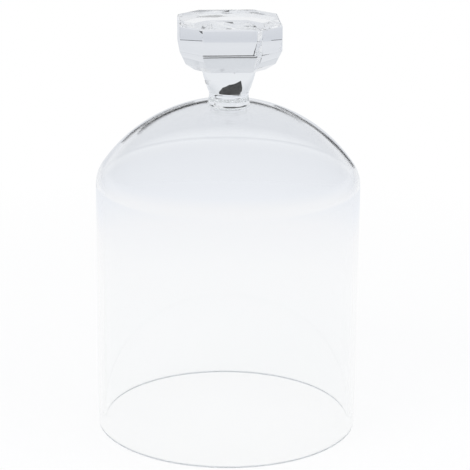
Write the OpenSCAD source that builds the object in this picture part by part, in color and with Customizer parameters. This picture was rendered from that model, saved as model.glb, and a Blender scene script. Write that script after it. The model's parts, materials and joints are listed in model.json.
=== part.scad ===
// Bell jar dome: a blown glass bell with a ground rim, carried by a cut glass knob
// on a waisted glass stem. The stem's spigot passes through a hole in the crown. A thin
// clear film bonds it in there, and another bonds the knob on.
// Millimetres, +Z up. The origin is the centre of the rim's resting plane.

/* [Bell] */
// Outside diameter of the straight wall
bell_d = 130; // [100:1:200]
// Thickness of the straight wall
wall_t = 2.6; // [2:0.1:4]
// Height of the straight wall, from the rim to the shoulder
side_h = 124; // [80:1:220]
// Rise of the domed crown above the straight wall, as a share of the bell's radius
crown_share = 0.64; // [0.6:0.002:0.8]
// Thickness of the glass at the middle of the crown
crown_t = 2.2; // [1.8:0.1:4]
// Outside radius that rounds the shoulder
shoulder_r = 16; // [10:0.5:24]
// How much further up the bore stays straight than the outside, which thins the shoulder
shoulder_lift = 0.6; // [0:0.1:1.4]
// Width of the ground arris on both edges of the rim
arris_w = 0.5; // [0.2:0.1:0.8]

/* [Stem] */
// Diameter of the waist
waist_d = 19.2; // [16:0.2:19.6]
// Diameter of the top, where the knob is bonded on
stem_top_d = 27; // [25:0.5:30]
// Height from the middle of the crown to the knob's underside
stem_h = 17.5; // [15:0.5:24]
// Radius that rounds the waist into the flare
waist_r = 6; // [4:0.5:8]
// Radius of the long curve that eases the flare back towards upright
flare_r = 65; // [50:5:120]
// Diameter of the spigot, which passes through the crown
spigot_d = 20; // [20:0.2:22]
// How far the spigot stands out under the crown
spigot_out = 2; // [1:0.1:4]
// Width of the arris around the spigot's lower end
spigot_arris = 0.5; // [0.2:0.1:0.8]

/* [Knob] */
// Width of the knob across its main flats
knob_w = 49; // [42:0.5:60]
// Width of each main flat, between the cut corners
flat_w = 28; // [24:0.5:34]
// Height of the knob
knob_h = 22.6; // [20:0.2:30]
// Width of the level underside, across the flats
underside_w = 34; // [31:0.5:38]
// Width of the arris along the top edges
top_arris = 0.7; // [0.4:0.1:1.5]

/* [Bonds] */
// Thickness of the cured bond films
bond_t = 0.2; // [0.1:0.05:0.4]
// How far the knob's film stops short of the edge of its joint
bond_inset = 0.4; // [0.2:0.1:0.8]

/* [Hidden] */
$fn = 128;
big = 1000;                                   // longer than anything in the model

bell_r = bell_d / 2;
crown_rise = bell_r * crown_share;
crown_z = side_h + crown_rise;                // top of the crown, outside
inner_r = bell_r - wall_t;
inner_shoulder_r = shoulder_r - wall_t;

cap_r = cap_radius(bell_r, crown_rise, shoulder_r);
cap_centre_z = crown_z - cap_r;

waist_radius = waist_d / 2;
waist_z = crown_z + 3;                        // where the stem is narrowest
spigot_r = spigot_d / 2;
spigot_z = crown_z - crown_t - spigot_out;    // the spigot's lower end
hole_r = spigot_r + bond_t;

knob_z = crown_z + stem_h;                    // the knob's underside
stem_top_z = knob_z - bond_t;
stem_top_r = stem_top_d / 2;
flare_slope = steepest_slope(stem_top_r - waist_radius, stem_top_z - waist_z, waist_r, flare_r);
flare_centre_r = waist_radius + waist_r - (waist_r + flare_r) * cos(flare_slope);
flare_centre_z = waist_z + (waist_r + flare_r) * sin(flare_slope);
top_slope = atan2(flare_centre_z - stem_top_z, stem_top_r - flare_centre_r);
curve_steps = 8;                              // stretches in each curve of the stem's side

knob_half = knob_w / 2;
corner_half = (knob_half + flat_w / 2) / sqrt(2);   // axis to a cut corner's face
bevel_mid_w = 0.88;                           // width between the two lower bevels
bevel_mid_h = 0.15;                           // height between the two lower bevels
bevel_top_h = 0.44;                           // height where the upright faces start

// Radius of a cap that rises by `rise` over a wall of radius `r`,
// tangent to a shoulder of radius `s` that is itself tangent to the wall.
function cap_radius(r, rise, s) =
    (rise * rise + (r - s) * (r - s) - s * s) / (2 * (rise - s));

// Slope from upright where an inward rounding of radius `a`, which starts upright, meets
// an outward curve of radius `b` that ends `out` further out and `up` higher.
function steepest_slope(out, up, a, b) =
    let (d = norm([up, a - out]))
    atan2(up, a - out) - acos((d * d + (a + b) * (a + b) - b * b) / (2 * d * (a + b)));

// Filled half outline of a wall of radius r and height h under a domed crown of height top
module bell_outline(r, h, top, s) {
    cap = cap_radius(r, top - h, s);
    centre_z = top - cap;
    tilt = atan2(h - centre_z, r - s);
    square([r, h]);
    translate([r - s, h]) circle(r = s);
    intersection() {
        translate([0, centre_z]) circle(r = cap);
        polygon([[0, centre_z], [big * cos(tilt), centre_z + big * sin(tilt)], [0, big]]);
    }
}

// Corner that the arris takes off the rim at radius r, on the side that `out` (1 or -1) says
module rim_corner(r, out) {
    polygon([[r - out * arris_w, 0], [r + out, arris_w + 1], [r + out, -1], [r - out * arris_w, -1]]);
}

// Half section of the bell's glass, as blown, before its rim is ground and its crown drilled
module blown_section() {
    difference() {
        bell_outline(bell_r, side_h, crown_z, shoulder_r);
        translate([0, -1]) square([inner_r, 2]);
        bell_outline(inner_r, side_h + shoulder_lift, crown_z - crown_t, inner_shoulder_r);
    }
}

module bell() {
    color([0.84, 0.90, 0.94, 0.35])
    rotate_extrude()
    difference() {
        blown_section();
        rim_corner(bell_r, 1);
        rim_corner(inner_r, -1);
        square([hole_r, big]);
    }
}

// Sleeve of cured bond between the spigot and the hole in the crown
module crown_bond() {
    color([0.95, 0.97, 0.90, 0.5])
    rotate_extrude()
    intersection() {
        blown_section();
        translate([spigot_r, 0]) square([bond_t, big]);
    }
}

module stem() {
    waist_curve = [for (i = [0 : curve_steps]) let (a = flare_slope * i / curve_steps)
        [waist_radius + waist_r * (1 - cos(a)), waist_z + waist_r * sin(a)]];
    flare_curve = [for (i = [1 : curve_steps])
        let (a = flare_slope + (top_slope - flare_slope) * i / curve_steps)
        [flare_centre_r + flare_r * cos(a), flare_centre_z - flare_r * sin(a)]];
    color([0.80, 0.87, 0.92, 0.45])
    rotate_extrude()
    polygon(concat([[0, spigot_z], [spigot_r - spigot_arris, spigot_z],
                    [spigot_r, spigot_z + spigot_arris], [spigot_r, crown_z]],
                   waist_curve, flare_curve, [[0, stem_top_z]]));
}

module knob_bond() {
    color([0.95, 0.97, 0.90, 0.5])
    translate([0, 0, stem_top_z]) cylinder(r = stem_top_r - bond_inset, h = bond_t);
}

// Upright slab whose two faces are `half` from the axis, with both lower bevels
module bevelled_slab(half) {
    k = half / knob_half;
    side = [[underside_w / 2 * k, 0],
            [half * bevel_mid_w, knob_h * bevel_mid_h],
            [half, knob_h * bevel_top_h],
            [half, knob_h - top_arris],
            [half - top_arris, knob_h]];
    other = [for (i = [len(side) - 1 : -1 : 0]) [-side[i][0], side[i][1]]];
    rotate([90, 0, 0]) linear_extrude(height = knob_w * 2, center = true) polygon(concat(side, other));
}

module knob() {
    color([0.86, 0.91, 0.94, 0.45])
    translate([0, 0, knob_z])
    intersection() {
        bevelled_slab(knob_half);
        rotate([0, 0, 90]) bevelled_slab(knob_half);
        rotate([0, 0, 45]) bevelled_slab(corner_half);
        rotate([0, 0, 135]) bevelled_slab(corner_half);
    }
}

bell();
crown_bond();
stem();
knob_bond();
knob();
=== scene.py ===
import json
import math

import bmesh
import bpy
from mathutils import Matrix, Quaternion, Vector


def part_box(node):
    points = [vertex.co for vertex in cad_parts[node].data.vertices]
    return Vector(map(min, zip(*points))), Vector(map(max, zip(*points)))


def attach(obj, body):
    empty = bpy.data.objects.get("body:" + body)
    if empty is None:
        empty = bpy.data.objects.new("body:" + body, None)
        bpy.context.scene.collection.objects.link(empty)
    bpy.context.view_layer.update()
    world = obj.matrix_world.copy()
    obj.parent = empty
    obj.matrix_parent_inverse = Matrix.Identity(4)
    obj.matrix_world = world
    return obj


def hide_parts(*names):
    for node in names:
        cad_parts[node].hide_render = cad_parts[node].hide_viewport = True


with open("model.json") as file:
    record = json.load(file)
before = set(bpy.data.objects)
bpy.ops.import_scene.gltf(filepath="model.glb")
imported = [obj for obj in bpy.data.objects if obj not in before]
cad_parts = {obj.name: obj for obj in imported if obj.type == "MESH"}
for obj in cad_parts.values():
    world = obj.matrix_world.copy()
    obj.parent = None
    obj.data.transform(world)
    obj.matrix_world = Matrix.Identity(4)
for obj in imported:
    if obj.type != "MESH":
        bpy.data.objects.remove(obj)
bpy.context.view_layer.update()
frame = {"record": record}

MM = 0.001
TURN = 2 * math.pi


# ---------------------------------------------------------------- sizes from the frame

def mount_radius(name):
    """Radius of a round mount of the record, in metres."""
    mount = next(m for m in frame["record"]["mounts"] if m["name"] == name)
    return mount["dims"]["r_mm"] * MM


bell_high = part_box("bell")[1]
stem_low, stem_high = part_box("stem")
knob_low, knob_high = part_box("knob")
film_low, film_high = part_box("knob_bond")

WALL_R = min(bell_high.x, bell_high.y)        # outside of the straight wall
BORE_R = mount_radius("mouth_bore")           # inside of the straight wall
STEM_H = 17.5 * MM                            # from the middle of the crown to the knob
CROWN_Z = knob_low.z - STEM_H                 # middle of the crown, where the hole is drilled
SIDE_H = 124 * MM                             # rim to shoulder
SHOULDER_R = 16 * MM
SHOULDER_LIFT = 0.6 * MM                      # how much further up the bore stays straight
CROWN_T = 2.2 * MM                            # glass at the middle of the crown
ARRIS = 0.5 * MM                              # rounding of the ground rim's edges

STEM_TOP_R = min(stem_high.x, stem_high.y)
STEM_TOP_Z = stem_high.z
WAIST_R = 9.6 * MM
WAIST_Z = CROWN_Z + 3 * MM                    # where the stem is narrowest
WAIST_ROUND = 6 * MM                          # rounds the waist into the flare
FLARE_ROUND = 65 * MM                         # eases the flare back towards upright
SPIGOT_R = 10 * MM                            # the end that passes through the crown
SPIGOT_Z = stem_low.z
SPIGOT_EDGE = 0.5 * MM                        # rounding of the spigot's lower edge

FILM_R = min(film_high.x, film_high.y)
FILM_T = film_high.z - film_low.z
BOND_HOLLOW = FILM_T * 0.15                   # how far a bond's free face has shrunk in
HOLE_R = SPIGOT_R + FILM_T

KNOB_HALF = min(knob_high.x, knob_high.y)
KNOB_Z = knob_low.z
KNOB_H = knob_high.z - knob_low.z
FLAT_W = 28 * MM                              # each main flat, between the cut corners
UNDERSIDE_HALF = 17 * MM
BEVEL_MID_W = 0.88                            # share of the width between the two lower bevels
BEVEL_MID_H = 0.15                            # share of the height between the two lower bevels
BEVEL_TOP_H = 0.44                            # share of the height where the upright faces start
TOP_ARRIS = 0.7 * MM
KNOB_POLISH = 0.25 * MM                       # rounding that polishing leaves on the cut edges
FACET_AREA = (2 * MM) ** 2                    # every cut facet has more area than this

BELL_STEPS = 288                              # faces round the bell
STEM_STEPS = 160                              # faces round the stem and both bonds
FILM_SIDES = 96                               # sides of the round patch that the film covers
SHARP = math.radians(28)                      # an edge that turns more than this isn't shaded smooth


def cap_radius(r, rise, shoulder):
    """Radius of a cap that rises over a wall of radius r, tangent to its shoulder."""
    return (rise ** 2 + (r - shoulder) ** 2 - shoulder ** 2) / (2 * (rise - shoulder))


CAP_R = cap_radius(WALL_R, CROWN_Z - SIDE_H, SHOULDER_R)
CAP_Z = CROWN_Z - CAP_R                       # height of the cap's centre
BORE_H = SIDE_H + SHOULDER_LIFT
INNER_SHOULDER_R = SHOULDER_R - (WALL_R - BORE_R)
INNER_CAP_R = cap_radius(BORE_R, CROWN_Z - CROWN_T - BORE_H, INNER_SHOULDER_R)
INNER_CAP_Z = CROWN_Z - CROWN_T - INNER_CAP_R


# ---------------------------------------------------------------- outlines and turning

def pen_down(bm, r, z):
    """First point of an outline, at radius r and height z."""
    return bm.verts.new((r, 0, z))


def line_to(bm, pen, r, z, cuts=1):
    """Draws a straight stretch of the outline to radius r and height z."""
    start, end = pen.co.copy(), Vector((r, 0, z))
    for i in range(cuts):
        pen = bmesh.ops.extrude_vert_indiv(bm, verts=[pen])["verts"][0]
        pen.co = start.lerp(end, (i + 1) / cuts)
    return pen


def arc_by(bm, pen, centre_r, centre_z, angle, steps):
    """Draws an arc round a centre. A positive angle turns from upright towards outwards."""
    swept = bmesh.ops.spin(bm, geom=[pen], cent=(centre_r, 0, centre_z), axis=(0, 1, 0),
                           angle=angle, steps=steps)
    return next(v for v in swept["geom_last"] if isinstance(v, bmesh.types.BMVert))


def turned(bm, steps):
    """Turns the outline round the axis into a closed solid with its faces outwards."""
    bmesh.ops.spin(bm, geom=bm.verts[:] + bm.edges[:], cent=(0, 0, 0), axis=(0, 0, 1),
                   angle=TURN, steps=steps, use_merge=True)
    bmesh.ops.remove_doubles(bm, verts=bm.verts, dist=0.0005 * MM)
    bmesh.ops.recalc_face_normals(bm, faces=bm.faces)
    for vert in bm.verts:
        vert.co.z = max(vert.co.z, 0)         # rounding leaves some a hair under the rim's plane


def piece(bm, name, node, materials, slot_of=lambda face: 0, flat_over=None):
    """Makes the mesh an object that stands for a CAD node and rides with the part.
    Faces with more area than flat_over are plane facets, and the rest are shaded smooth."""
    for face in bm.faces:
        face.material_index = slot_of(face)
        face.smooth = flat_over is None or face.calc_area() < flat_over
    for edge in bm.edges:
        if len(edge.link_faces) == 2 and edge.calc_face_angle() > SHARP:
            edge.smooth = False
    mesh = bpy.data.meshes.new(name)
    bm.to_mesh(mesh)
    bm.free()
    obj = bpy.data.objects.new(name, mesh)
    bpy.context.scene.collection.objects.link(obj)
    for material in materials:
        mesh.materials.append(material)
    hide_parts(node)
    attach(obj, "root")
    return obj


# ---------------------------------------------------------------- shader helpers

def new_node(tree, kind, at, **sockets):
    """Adds a node with its plain socket values set. A socket's name has _ for a space."""
    node = tree.nodes.new(kind)
    node.location = at
    for key, value in sockets.items():
        node.inputs[key.replace("_", " ")].default_value = value
    return node


def math_node(tree, operation, at, first, second=None):
    """A Math node whose inputs are sockets or numbers."""
    node = tree.nodes.new("ShaderNodeMath")
    node.operation = operation
    node.location = at
    for socket, value in zip(node.inputs, (first, second)):
        if value is None:
            continue
        if isinstance(value, (int, float)):
            socket.default_value = value
        else:
            tree.links.new(value, socket)
    return node.outputs[0]


def ramp(tree, at, factor, stops, interpolation="LINEAR"):
    """A colour ramp through (position, grey or colour) stops."""
    node = tree.nodes.new("ShaderNodeValToRGB")
    node.location = at
    node.color_ramp.interpolation = interpolation
    elements = node.color_ramp.elements
    while len(elements) < len(stops):
        elements.new(0.5)
    for element, (position, colour) in zip(elements, stops):
        element.position = position
        element.color = (*colour, 1) if isinstance(colour, tuple) else (colour,) * 3 + (1,)
    tree.links.new(factor, node.inputs["Fac"])
    return node.outputs["Color"]


def blank(name):
    """A new material with an empty node tree and its output."""
    material = bpy.data.materials.new(name)
    material.use_nodes = True
    material.node_tree.nodes.clear()
    output = material.node_tree.nodes.new("ShaderNodeOutputMaterial")
    output.location = (600, 0)
    return material, material.node_tree, output


def surface_group():
    """Node group shared by the glasses: soft hand-made waviness and a trace of handling haze."""
    group = bpy.data.node_groups.new("glass surface", "ShaderNodeTree")
    ports = group.interface
    ports.new_socket("Vector", in_out="INPUT", socket_type="NodeSocketVector")
    for name, value in (("Wave Scale", 30.0), ("Wave Depth", 0.1), ("Haze Scale", 60.0),
                        ("Least Roughness", 0.0), ("Most Roughness", 0.02)):
        ports.new_socket(name, in_out="INPUT", socket_type="NodeSocketFloat").default_value = value
    ports.new_socket("Normal", in_out="OUTPUT", socket_type="NodeSocketVector")
    ports.new_socket("Roughness", in_out="OUTPUT", socket_type="NodeSocketFloat")
    given = group.nodes.new("NodeGroupInput")
    given.location = (-600, 0)
    result = group.nodes.new("NodeGroupOutput")
    result.location = (500, 0)

    wave = new_node(group, "ShaderNodeTexNoise", (-350, 150), Detail=1.0, Roughness=0.4)
    group.links.new(given.outputs["Vector"], wave.inputs["Vector"])
    group.links.new(given.outputs["Wave Scale"], wave.inputs["Scale"])
    bump = new_node(group, "ShaderNodeBump", (150, 150), Distance=1 * MM)
    group.links.new(wave.outputs[0], bump.inputs["Height"])
    group.links.new(given.outputs["Wave Depth"], bump.inputs["Strength"])
    group.links.new(bump.outputs["Normal"], result.inputs["Normal"])

    haze = new_node(group, "ShaderNodeTexNoise", (-350, -150), Detail=4.0, Roughness=0.6)
    group.links.new(given.outputs["Vector"], haze.inputs["Vector"])
    group.links.new(given.outputs["Haze Scale"], haze.inputs["Scale"])
    spread = new_node(group, "ShaderNodeMapRange", (-50, -150), From_Min=0.4, From_Max=0.7)
    group.links.new(haze.outputs[0], spread.inputs["Value"])
    group.links.new(given.outputs["Least Roughness"], spread.inputs["To Min"])
    group.links.new(given.outputs["Most Roughness"], spread.inputs["To Max"])
    group.links.new(spread.outputs["Result"], result.inputs["Roughness"])
    return group


GLASS_SURFACE = surface_group()


def object_place(tree, stretch):
    """Object coordinates, stretched by a Mapping node."""
    coordinates = new_node(tree, "ShaderNodeTexCoord", (-900, 0))
    mapping = new_node(tree, "ShaderNodeMapping", (-700, 0), Scale=stretch)
    tree.links.new(coordinates.outputs["Object"], mapping.inputs["Vector"])
    return mapping.outputs["Vector"]


def let_lamps_through(tree, glass, output, passed):
    """Glass that bends what is seen but passes the lamps' light, as thin clear glass does."""
    path = new_node(tree, "ShaderNodeLightPath", (150, 350))
    clear = new_node(tree, "ShaderNodeBsdfTransparent", (150, -250), Color=(*passed, 1))
    mix = new_node(tree, "ShaderNodeMixShader", (400, 0))
    tree.links.new(path.outputs["Is Shadow Ray"], mix.inputs["Fac"])
    tree.links.new(glass.outputs["BSDF"], mix.inputs[1])
    tree.links.new(clear.outputs["BSDF"], mix.inputs[2])
    tree.links.new(mix.outputs["Shader"], output.inputs["Surface"])


def glass_material(name, tint, ior, waves, haze, stretch=(1, 1, 1), passed=(0.9, 0.91, 0.92),
                   cloudy=0.0):
    """Clear glass. waves is (scale, depth) and haze is (scale, least, most roughness).
    tint is one colour, or a function that makes a colour socket in the material's tree.
    cloudy is the share of light that a ground surface scatters."""
    material, tree, output = blank(name)
    glass = new_node(tree, "ShaderNodeBsdfPrincipled", (100, 100), IOR=ior, Roughness=0.0,
                     Transmission_Weight=1.0 - cloudy)
    place = object_place(tree, stretch)
    surface = tree.nodes.new("ShaderNodeGroup")
    surface.node_tree = GLASS_SURFACE
    surface.location = (-300, -100)
    tree.links.new(place, surface.inputs["Vector"])
    surface.inputs["Wave Scale"].default_value, surface.inputs["Wave Depth"].default_value = waves
    for key, value in zip(("Haze Scale", "Least Roughness", "Most Roughness"), haze):
        surface.inputs[key].default_value = value
    tree.links.new(surface.outputs["Normal"], glass.inputs["Normal"])
    tree.links.new(surface.outputs["Roughness"], glass.inputs["Roughness"])
    if callable(tint):
        tree.links.new(tint(tree), glass.inputs["Base Color"])
    else:
        glass.inputs["Base Color"].default_value = (*tint, 1)
    let_lamps_through(tree, glass, output, passed)
    return material


def tint_by_height(low, high, stops):
    """Makes a tint that changes from one height to another."""
    def tint(tree):
        coordinates = new_node(tree, "ShaderNodeTexCoord", (-900, 400))
        split = new_node(tree, "ShaderNodeSeparateXYZ", (-700, 400))
        tree.links.new(coordinates.outputs["Object"], split.inputs["Vector"])
        height = new_node(tree, "ShaderNodeMapRange", (-500, 400), From_Min=low, From_Max=high)
        tree.links.new(split.outputs["Z"], height.inputs["Value"])
        return ramp(tree, (-300, 400), height.outputs["Result"], stops)
    return tint


def bonded_face():
    """Where glass and clear bond meet with no air between, nothing is reflected or bent."""
    material, tree, output = blank("bonded face")
    clear = new_node(tree, "ShaderNodeBsdfTransparent", (200, 0))
    tree.links.new(clear.outputs["BSDF"], output.inputs["Surface"])
    return material


BELL_TINT = tint_by_height(0, CROWN_Z, [(0.0, (0.985, 0.99, 0.99)), (0.55, (0.98, 0.984, 0.988)),
                                        (1.0, (0.97, 0.975, 0.98))])
# Glass tint with painted shade and a painted highlight by height: painted shade is darkest at half the
# knob's height, and a painted highlight pales to white on the top face
KNOB_TINT_AND_PAINTED_SHADE = tint_by_height(KNOB_Z, KNOB_Z + KNOB_H, [
    (0.0, (0.95, 0.962, 0.975)), (0.35, (0.94, 0.952, 0.967)), (0.5, (0.82, 0.837, 0.862)),
    (0.9, (0.93, 0.94, 0.952)), (1.0, (1, 1, 1))])
BELL_GLASS = glass_material("blown bell glass", BELL_TINT, 1.5, waves=(22.0, 0.06),
                            haze=(35.0, 0.0, 0.015), stretch=(1, 1, 0.5))
RIM_GLASS = glass_material("ground rim", (0.8, 0.82, 0.83), 1.5, waves=(900.0, 0.15),
                           haze=(300.0, 0.35, 0.5), cloudy=0.5)
STEM_GLASS = glass_material("stem glass", (0.96, 0.975, 0.985), 1.5, waves=(60.0, 0.05),
                            haze=(90.0, 0.0, 0.02))
# the knob's tint carries painted shade and a painted highlight by height
KNOB_GLASS = glass_material("cut knob glass", KNOB_TINT_AND_PAINTED_SHADE, 1.52, waves=(70.0, 0.06),
                            haze=(120.0, 0.0, 0.03))
BOND_EDGE = glass_material("cured bond edge", (0.97, 0.98, 0.95), 1.5, waves=(700.0, 0.1),
                           haze=(400.0, 0.05, 0.2))
BONDED = bonded_face()


# ---------------------------------------------------------------- the pieces

def crown_height(r):
    """Height of the crown's outside at radius r."""
    return CAP_Z + math.sqrt(CAP_R ** 2 - r ** 2)


def inner_crown_height(r):
    """Height of the crown's inside at radius r."""
    return INNER_CAP_Z + math.sqrt(INNER_CAP_R ** 2 - r ** 2)


def make_bell():
    """Blown shell from the hole in its crown down to the ground rim and back up the inside."""
    bm = bmesh.new()
    tilt = math.atan2(SIDE_H - CAP_Z, WALL_R - SHOULDER_R)
    hole_angle = math.asin(HOLE_R / CAP_R)
    pen = pen_down(bm, HOLE_R, crown_height(HOLE_R))
    pen = arc_by(bm, pen, 0, CAP_Z, math.pi / 2 - tilt - hole_angle, 36)
    pen = arc_by(bm, pen, WALL_R - SHOULDER_R, SIDE_H, tilt, 18)
    pen = line_to(bm, pen, WALL_R, ARRIS, cuts=12)
    pen = arc_by(bm, pen, WALL_R - ARRIS, ARRIS, math.pi / 2, 4)
    pen = line_to(bm, pen, BORE_R + ARRIS, 0, cuts=2)
    pen = arc_by(bm, pen, BORE_R + ARRIS, ARRIS, math.pi / 2, 4)

    inner_tilt = math.atan2(BORE_H - INNER_CAP_Z, BORE_R - INNER_SHOULDER_R)
    inner_hole_angle = math.asin(HOLE_R / INNER_CAP_R)
    pen = line_to(bm, pen, BORE_R, BORE_H, cuts=12)
    pen = arc_by(bm, pen, BORE_R - INNER_SHOULDER_R, BORE_H, -inner_tilt, 18)
    pen = arc_by(bm, pen, 0, INNER_CAP_Z, inner_tilt - math.pi / 2 + inner_hole_angle, 40)
    line_to(bm, pen, HOLE_R, crown_height(HOLE_R))
    turned(bm, BELL_STEPS)

    def slot_of(face):
        middle = face.calc_center_median()
        if middle.z < ARRIS * 1.01:
            return 1
        in_hole = abs(face.normal.z) < 0.01 and middle.z > SIDE_H + SHOULDER_R
        return 2 if in_hole else 0

    return piece(bm, "bell_shell", "bell", [BELL_GLASS, RIM_GLASS, BONDED], slot_of)


def make_crown_bond():
    """Sleeve of clear bond that fills the gap between the spigot and the hole."""
    bm = bmesh.new()
    middle_r = SPIGOT_R + FILM_T / 2
    pen = start = pen_down(bm, SPIGOT_R, crown_height(SPIGOT_R))
    pen = line_to(bm, pen, middle_r, crown_height(middle_r) - BOND_HOLLOW)
    pen = line_to(bm, pen, HOLE_R, crown_height(HOLE_R))
    pen = line_to(bm, pen, HOLE_R, inner_crown_height(HOLE_R), cuts=4)
    pen = line_to(bm, pen, middle_r, inner_crown_height(middle_r) + BOND_HOLLOW)
    pen = line_to(bm, pen, SPIGOT_R, inner_crown_height(SPIGOT_R))
    line_to(bm, pen, SPIGOT_R, start.co.z, cuts=4)
    turned(bm, STEM_STEPS)

    def slot_of(face):
        return 1 if abs(face.normal.z) < 0.01 else 0

    return piece(bm, "crown_bond_sleeve", "crown_bond", [BOND_EDGE, BONDED], slot_of)


def flare_curve():
    """Steepest slope of the stem's side, and the centre of the long curve above it."""
    out, up = STEM_TOP_R - WAIST_R, STEM_TOP_Z - WAIST_Z
    reach, both = math.hypot(up, WAIST_ROUND - out), WAIST_ROUND + FLARE_ROUND
    steepest = math.atan2(up, WAIST_ROUND - out) - math.acos(
        (reach ** 2 + both ** 2 - FLARE_ROUND ** 2) / (2 * reach * both))
    return (steepest, WAIST_R + WAIST_ROUND - both * math.cos(steepest),
            WAIST_Z + both * math.sin(steepest))


def make_stem():
    """Solid stem: spigot with a polished end, drawn-in waist and flare."""
    bm = bmesh.new()
    top_edge = 0.3 * MM
    pen = pen_down(bm, 0, SPIGOT_Z)
    pen = line_to(bm, pen, SPIGOT_R - SPIGOT_EDGE, SPIGOT_Z, cuts=4)
    pen = arc_by(bm, pen, SPIGOT_R - SPIGOT_EDGE, SPIGOT_Z + SPIGOT_EDGE, -math.pi / 2, 5)
    pen = line_to(bm, pen, SPIGOT_R, inner_crown_height(SPIGOT_R), cuts=2)
    pen = line_to(bm, pen, SPIGOT_R, crown_height(SPIGOT_R), cuts=4)
    pen = line_to(bm, pen, SPIGOT_R, CROWN_Z)
    pen = line_to(bm, pen, WAIST_R, WAIST_Z, cuts=3)
    steepest, flare_centre_r, flare_centre_z = flare_curve()
    top_slope = math.atan2(flare_centre_z - STEM_TOP_Z, STEM_TOP_R - flare_centre_r)
    flare_turn = top_slope + top_edge / FLARE_ROUND - steepest
    pen = arc_by(bm, pen, WAIST_R + WAIST_ROUND, WAIST_Z, steepest, 10)
    pen = arc_by(bm, pen, flare_centre_r, flare_centre_z, flare_turn, 16)
    pen = line_to(bm, pen, STEM_TOP_R - top_edge, STEM_TOP_Z)
    pen = line_to(bm, pen, FILM_R, STEM_TOP_Z)
    line_to(bm, pen, 0, STEM_TOP_Z, cuts=4)
    turned(bm, STEM_STEPS)

    def slot_of(face):
        middle = face.calc_center_median()
        radius = math.hypot(middle.x, middle.y)
        on_film = middle.z > STEM_TOP_Z - 0.01 * MM and radius < FILM_R
        in_hole = inner_crown_height(SPIGOT_R) < middle.z < crown_height(SPIGOT_R)
        in_sleeve = in_hole and abs(face.normal.z) < 0.01
        return 1 if on_film or in_sleeve else 0

    return piece(bm, "stem_solid", "stem", [STEM_GLASS, BONDED], slot_of)


def make_knob_bond():
    """Flat film of clear bond between the stem's top and the knob."""
    bm = bmesh.new()
    pen = pen_down(bm, 0, film_high.z)
    pen = line_to(bm, pen, FILM_R, film_high.z, cuts=4)
    pen = line_to(bm, pen, FILM_R - BOND_HOLLOW, (film_high.z + film_low.z) / 2)
    pen = line_to(bm, pen, FILM_R, film_low.z)
    line_to(bm, pen, 0, film_low.z, cuts=4)
    turned(bm, STEM_STEPS)

    def slot_of(face):
        return 1 if abs(face.normal.z) > 0.9 else 0

    return piece(bm, "knob_bond_film", "knob_bond", [BOND_EDGE, BONDED], slot_of)


def make_knob():
    """Square block with cut corners, bevelled in twice underneath, its edges polished off."""
    bm = bmesh.new()
    bmesh.ops.create_grid(bm, x_segments=1, y_segments=1, size=KNOB_HALF)
    bmesh.ops.bevel(bm, geom=bm.verts[:], affect="VERTICES", offset=KNOB_HALF - FLAT_W / 2,
                    offset_type="OFFSET", segments=1, profile=0.5, material=-1)
    bm.faces.ensure_lookup_table()
    underside = top = bm.faces[0]
    width = UNDERSIDE_HALF / KNOB_HALF
    bmesh.ops.scale(bm, verts=bm.verts, vec=(width, width, 1))
    bmesh.ops.translate(bm, verts=bm.verts, vec=(0, 0, KNOB_Z))
    arris_share, arris_drop = 1 - TOP_ARRIS / KNOB_HALF, 1 - TOP_ARRIS / KNOB_H
    for share, height in ((BEVEL_MID_W, BEVEL_MID_H), (1.0, BEVEL_TOP_H), (1.0, arris_drop),
                          (arris_share, 1.0)):
        grown = bmesh.ops.extrude_face_region(bm, geom=[top])["geom"]
        if top is not underside:              # a face left here would be glass inside the knob
            bmesh.ops.delete(bm, geom=[top], context="FACES_ONLY")
        top = next(f for f in grown if isinstance(f, bmesh.types.BMFace))
        bmesh.ops.scale(bm, verts=top.verts, vec=(share / width, share / width, 1))
        lift = KNOB_Z + KNOB_H * height - top.verts[0].co.z
        bmesh.ops.translate(bm, verts=top.verts, vec=(0, 0, lift))
        width = share
    bmesh.ops.recalc_face_normals(bm, faces=bm.faces)
    bmesh.ops.bevel(bm, geom=bm.edges[:], affect="EDGES", offset=KNOB_POLISH, segments=2,
                    profile=0.5, material=-1, clamp_overlap=True)

    underside = min(bm.faces, key=lambda f: (f.calc_center_median().z, -f.calc_area()))
    outline = list(underside.edges)
    bmesh.ops.delete(bm, geom=[underside], context="FACES_ONLY")
    disc = bmesh.ops.create_circle(bm, cap_ends=True, radius=FILM_R, segments=FILM_SIDES,
                                   matrix=Matrix.Translation((0, 0, KNOB_Z)))["verts"]
    ring = [e for e in bm.edges if e.verts[0] in disc and e.verts[1] in disc]
    bmesh.ops.bridge_loops(bm, edges=outline + ring)
    bmesh.ops.recalc_face_normals(bm, faces=bm.faces)

    def slot_of(face):
        middle = face.calc_center_median()
        on_film = math.hypot(middle.x, middle.y) < FILM_R * 0.5
        return 1 if on_film and face.normal.z < -0.99 else 0

    return piece(bm, "knob_block", "knob", [KNOB_GLASS, BONDED], slot_of, flat_over=FACET_AREA)


make_bell()
make_crown_bond()
make_stem()
make_knob_bond()
make_knob()


# ---------------------------------------------------------------- camera

def aim_camera(azimuth, elevation, distance, aim, sideways, lean, lens):
    """Camera looking at a point from an azimuth, where 0 looks along +Y, and an elevation.
    The lean turns it about its own line of sight, so that what it sees leans the other way."""
    turn, rise = math.radians(azimuth), math.radians(elevation)
    back = Vector((math.sin(turn) * math.cos(rise), -math.cos(turn) * math.cos(rise), math.sin(rise)))
    across = Vector((math.cos(turn), math.sin(turn), 0))
    data = bpy.data.cameras.new("camera")
    data.sensor_width = 36
    data.lens = lens
    data.clip_start, data.clip_end = 0.05, 50
    camera = bpy.data.objects.new("camera", data)
    camera.location = aim + back * distance + across * sideways
    camera.rotation_mode = "QUATERNION"
    upright = back.to_track_quat("Z", "Y")
    camera.rotation_quaternion = upright @ Quaternion((0, 0, 1), math.radians(lean))
    bpy.context.scene.collection.objects.link(camera)
    bpy.context.scene.camera = camera


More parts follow.
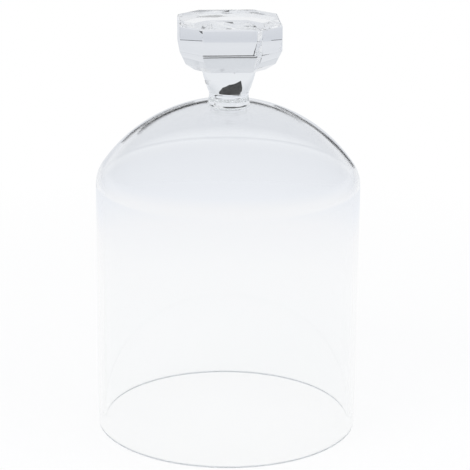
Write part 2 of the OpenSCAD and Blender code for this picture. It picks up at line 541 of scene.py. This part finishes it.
aim_camera(azimuth=-4, elevation=17.44, distance=1.0, aim=Vector((0, 0, 97.1 * MM)),
           sideways=3.6 * MM, lean=0.5, lens=154.3)


# ---------------------------------------------------------------- stage and light

TABLE_R = 8
TABLE_GAP = 0.2 * MM                          # keeps the rim's ground face clear of the table
TABLE_GREY = (0.86, 0.86, 0.86, 1)
TABLE_GLOW = (0.85, 1.0)                      # share of the table's look that is its own white
TABLE_GLOW_REACH = (0.16, 0.45)               # from this near the bell out to this far
# Painted grey-blue tones that only glass shows of the table, by metres from the bell: painted shade and
# reflection for the glass, not the table's own colour
TABLE_PAINTED_GLASS_TONES = [(0.25, (0.985, 0.985, 0.985)), (0.34, (0.95, 0.95, 0.96)), (0.4, (0.88, 0.9, 0.94)),
               (0.46, (0.85, 0.868, 0.905)), (0.56, (0.82, 0.837, 0.872)),
               (0.66, (0.87, 0.888, 0.92)), (0.74, (0.73, 0.75, 0.79))]
# What glass shows of the room, from 0 straight down through 0.5 at the horizon to 1 straight up
STUDIO_TONES = [(0.56, (0.83, 0.845, 0.87)), (0.63, (0.69, 0.71, 0.74)), (0.7, (0.72, 0.74, 0.77)),
                (1.0, (0.85, 0.862, 0.88))]
AMBIENT = (0.9, 0.93, 1.0)
AMBIENT_LEVEL = 0.6
LAMPS = [("key lamp", (-0.7, -0.6, 1.0), 0.6, 9), ("fill lamp", (0.9, -0.3, 0.8), 0.8, 6)]
LAMP_AIM = Vector((0, 0, 0.1))
CARD_GREY = (0.01, 0.01, 0.01, 1)
# Black cards, placed for this camera, where the glass shows them as its dark lines.
# Each is so many metres behind the bell, with its corners as (x, z).
NECK_CARD_Y = 0.8
NECK_CARD = [(-0.34, 0.36), (-0.32, 0.32), (-0.22, 0.24), (0.05, 0.245), (0.2, 0.275),
             (0.33, 0.335), (0.36, 0.36)]
LEFT_CARD_Y = 0.35
LEFT_CARD = [(-0.02, 0.165), (-0.02, 0.18), (-0.1, 0.175), (-0.14, 0.155), (-0.13, 0.135),
             (-0.095, 0.13), (-0.08, 0.15)]
RIGHT_CARD_Y = 0.2
RIGHT_CARD = [(0.055, 0.155), (0.055, 0.17), (0.1, 0.185), (0.14, 0.16), (0.155, 0.115),
              (0.13, 0.105), (0.11, 0.15), (0.09, 0.165)]
CARDS = [("neck_card", NECK_CARD_Y, NECK_CARD), ("left_card", LEFT_CARD_Y, LEFT_CARD),
         ("right_card", RIGHT_CARD_Y, RIGHT_CARD)]
LIGHT_BOUNCES = 160                           # light runs a long way inside the thin wall
CLEAR_BOUNCES = 32


def seen_in_glass(tree, at):
    """1 for rays that glass has reflected or bent, and 1 for rays straight from the camera."""
    path = new_node(tree, "ShaderNodeLightPath", at)
    bent = math_node(tree, "MAXIMUM", (at[0] + 200, at[1]), path.outputs["Is Glossy Ray"],
                     path.outputs["Is Transmission Ray"])
    return bent, path.outputs["Is Camera Ray"]


def stage_mesh(bm, name, material):
    """Links a mesh that belongs to the stage."""
    mesh = bpy.data.meshes.new(name)
    bm.to_mesh(mesh)
    bm.free()
    mesh.materials.append(material)
    obj = bpy.data.objects.new(name, mesh)
    bpy.context.scene.collection.objects.link(obj)
    return obj


def table_material():
    """Pale table. The camera sees its own white, and near the bell it takes the shadow. Rays that glass
    has bent or reflected see painted grey-blue tones instead, by distance from the bell.
    """
    material, tree, output = blank("pale table")
    bent, direct = seen_in_glass(tree, (-1200, 300))
    seen = math_node(tree, "MAXIMUM", (-800, 300), bent, direct)
    coordinates = new_node(tree, "ShaderNodeTexCoord", (-1200, -200))
    length = tree.nodes.new("ShaderNodeVectorMath")
    length.operation = "LENGTH"
    length.location = (-1000, -200)
    tree.links.new(coordinates.outputs["Object"], length.inputs[0])
    near, far = TABLE_GLOW_REACH
    least, most = TABLE_GLOW
    own = new_node(tree, "ShaderNodeMapRange", (-800, 100), From_Min=near, From_Max=far,
                   To_Min=least, To_Max=most)
    tree.links.new(length.outputs["Value"], own.inputs["Value"])
    # painted tones, which stand in for the shade that the glass shows
    painted_tones = ramp(tree, (-600, -200), length.outputs["Value"], TABLE_PAINTED_GLASS_TONES)
    shown = tree.nodes.new("ShaderNodeMixRGB")
    shown.location = (-300, 0)
    shown.inputs["Color1"].default_value = (1, 1, 1, 1)
    tree.links.new(bent, shown.inputs["Fac"])
    tree.links.new(painted_tones, shown.inputs["Color2"])
    glow = new_node(tree, "ShaderNodeEmission", (0, 100))
    tree.links.new(shown.outputs["Color"], glow.inputs["Color"])
    matt = new_node(tree, "ShaderNodeBsdfDiffuse", (0, -100), Color=TABLE_GREY)
    mix = new_node(tree, "ShaderNodeMixShader", (300, 0))
    tree.links.new(math_node(tree, "MULTIPLY", (0, 300), seen, own.outputs["Result"]), mix.inputs["Fac"])
    tree.links.new(matt.outputs["BSDF"], mix.inputs[1])
    tree.links.new(glow.outputs["Emission"], mix.inputs[2])
    tree.links.new(mix.outputs["Shader"], output.inputs["Surface"])
    return material


def make_floor():
    """Wide pale table just under the rim."""
    bm = bmesh.new()
    bmesh.ops.create_circle(bm, cap_ends=True, radius=TABLE_R, segments=64,
                            matrix=Matrix.Translation((0, 0, -TABLE_GAP)))
    stage_mesh(bm, "floor", table_material())


def black_card(name, behind, corners):
    """Black card that only the glass sees. It stands upright, `behind` metres behind the bell."""
    bm = bmesh.new()
    bm.faces.new([bm.verts.new((x, behind, z)) for x, z in corners])
    card = stage_mesh(bm, name, CARD_BLACK)
    card.visible_camera = False
    card.visible_diffuse = False
    card.visible_shadow = False


def card_black():
    """Black card stock."""
    material, tree, output = blank("card stock")
    black = new_node(tree, "ShaderNodeBsdfDiffuse", (200, 0), Color=CARD_GREY)
    tree.links.new(black.outputs["BSDF"], output.inputs["Surface"])
    return material


def make_surround():
    """World: white to the camera, pale blue-grey to what the glass shows, even light to the rest."""
    world = bpy.data.worlds.new("studio")
    bpy.context.scene.world = world
    world.use_nodes = True
    tree = world.node_tree
    tree.nodes.clear()
    output = tree.nodes.new("ShaderNodeOutputWorld")
    output.location = (900, 0)
    bent, direct = seen_in_glass(tree, (-900, 400))
    coordinates = new_node(tree, "ShaderNodeTexCoord", (-1200, -100))
    split = new_node(tree, "ShaderNodeSeparateXYZ", (-1000, -100))
    tree.links.new(coordinates.outputs["Generated"], split.inputs["Vector"])
    height = new_node(tree, "ShaderNodeMapRange", (-800, -100), From_Min=-1.0, From_Max=1.0)
    tree.links.new(split.outputs["Z"], height.inputs["Value"])
    studio = ramp(tree, (-600, -100), height.outputs["Result"], STUDIO_TONES)
    ambient = new_node(tree, "ShaderNodeBackground", (-100, 200), Color=(*AMBIENT, 1),
                       Strength=AMBIENT_LEVEL)
    around = new_node(tree, "ShaderNodeBackground", (-100, 0))
    tree.links.new(studio, around.inputs["Color"])
    white = new_node(tree, "ShaderNodeBackground", (-100, -200), Color=(1, 1, 1, 1))
    first = new_node(tree, "ShaderNodeMixShader", (200, 100))
    tree.links.new(bent, first.inputs["Fac"])
    tree.links.new(ambient.outputs["Background"], first.inputs[1])
    tree.links.new(around.outputs["Background"], first.inputs[2])
    second = new_node(tree, "ShaderNodeMixShader", (500, 0))
    tree.links.new(direct, second.inputs["Fac"])
    tree.links.new(first.outputs["Shader"], second.inputs[1])
    tree.links.new(white.outputs["Background"], second.inputs[2])
    tree.links.new(second.outputs["Shader"], output.inputs["Surface"])


def soft_lamp(name, place, size, watts):
    """Square soft lamp aimed at the middle of the bell."""
    data = bpy.data.lights.new(name, "AREA")
    data.size = size
    data.energy = watts
    lamp = bpy.data.objects.new(name, data)
    lamp.location = place
    from_bell = Vector(place) - LAMP_AIM
    lamp.rotation_mode = "QUATERNION"
    lamp.rotation_quaternion = from_bell.to_track_quat("Z", "Y")
    lamp.visible_glossy = False
    lamp.visible_transmission = False
    bpy.context.scene.collection.objects.link(lamp)


CARD_BLACK = card_black()
make_floor()
for name, behind, corners in CARDS:
    black_card(name, behind, corners)
make_surround()
for name, place, size, watts in LAMPS:
    soft_lamp(name, place, size, watts)

scene = bpy.context.scene
scene.view_settings.view_transform = "Standard"
scene.cycles.max_bounces = LIGHT_BOUNCES
scene.cycles.glossy_bounces = LIGHT_BOUNCES
scene.cycles.transmission_bounces = LIGHT_BOUNCES
scene.cycles.transparent_max_bounces = CLEAR_BOUNCES
